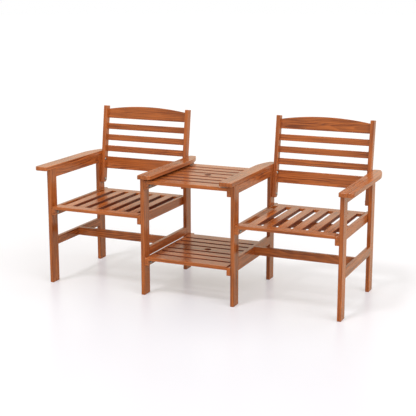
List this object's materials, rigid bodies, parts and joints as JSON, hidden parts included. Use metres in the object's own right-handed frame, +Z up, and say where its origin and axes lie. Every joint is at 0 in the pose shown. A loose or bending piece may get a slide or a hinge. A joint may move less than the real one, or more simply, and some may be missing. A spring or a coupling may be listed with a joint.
{
  "type": "companion seat bench",
  "caption": "Outdoor companion seat: slatted wooden armchairs joined by a low slatted table with a shelf and umbrella holes.",
  "frame": {"origin": "on the floor under the middle of the outer box", "axes": "+Z up, -Y the front, where the sitters' legs are, +X the right-hand end seen from the front; the bench is mirror-symmetric about X = 0"},
  "size_m": [1.684, 0.6442, 0.8708],
  "materials": {
    "frame_wood": "oiled reddish-brown hardwood, satin",
    "seat_wood": "oiled reddish-brown hardwood, satin",
    "back_wood": "oiled reddish-brown hardwood, satin",
    "table_wood": "oiled reddish-brown hardwood, satin",
    "bolt_steel": "zinc-plated steel, satin",
    "screw_steel": "zinc-plated steel, satin",
    "insert_brass": "plain brass"
  },
  "bodies": {
    "root": {"batten_screws": "screw_steel", "bolts": "bolt_steel", "left_back_bottom_rail": "back_wood", "left_back_inner_stile": "back_wood", "left_back_outer_stile": "back_wood", "left_back_slats": "back_wood", "left_back_top_rail": "back_wood", "left_crossbar": "frame_wood", "left_inner_arm_rail": "frame_wood", "left_inner_armrest": "frame_wood", "left_inner_front_leg": "frame_wood", "left_inner_rear_leg": "frame_wood", "left_inner_stretcher": "frame_wood", "left_outer_arm_rail": "frame_wood", "left_outer_armrest": "frame_wood", "left_outer_front_leg": "frame_wood", "left_outer_rear_leg": "frame_wood", "left_outer_stretcher": "frame_wood", "left_seat_batten": "seat_wood", "left_seat_front_rail": "seat_wood", "left_seat_inner_side_rail": "seat_wood", "left_seat_outer_side_rail": "seat_wood", "left_seat_rear_rail": "seat_wood", "left_seat_slats": "seat_wood", "left_shelf_side_rail": "table_wood", "left_table_side_rail": "table_wood", "right_back_bottom_rail": "back_wood", "right_back_inner_stile": "back_wood", "right_back_outer_stile": "back_wood", "right_back_slats": "back_wood", "right_back_top_rail": "back_wood", "right_crossbar": "frame_wood", "right_inner_arm_rail": "frame_wood", "right_inner_armrest": "frame_wood", "right_inner_front_leg": "frame_wood", "right_inner_rear_leg": "frame_wood", "right_inner_stretcher": "frame_wood", "right_outer_arm_rail": "frame_wood", "right_outer_armrest": "frame_wood", "right_outer_front_leg": "frame_wood", "right_outer_rear_leg": "frame_wood", "right_outer_stretcher": "frame_wood", "right_seat_batten": "seat_wood", "right_seat_front_rail": "seat_wood", "right_seat_inner_side_rail": "seat_wood", "right_seat_outer_side_rail": "seat_wood", "right_seat_rear_rail": "seat_wood", "right_seat_slats": "seat_wood", "right_shelf_side_rail": "table_wood", "right_table_side_rail": "table_wood", "shelf_front_slat": "table_wood", "shelf_rear_slat": "table_wood", "shelf_slats": "table_wood", "shelf_umbrella_slat": "table_wood", "table_front_slat": "table_wood", "table_rear_slat": "table_wood", "table_slats": "table_wood", "table_umbrella_slat": "table_wood", "threaded_inserts": "insert_brass", "washers": "bolt_steel"}
  },
  "joints": []
}
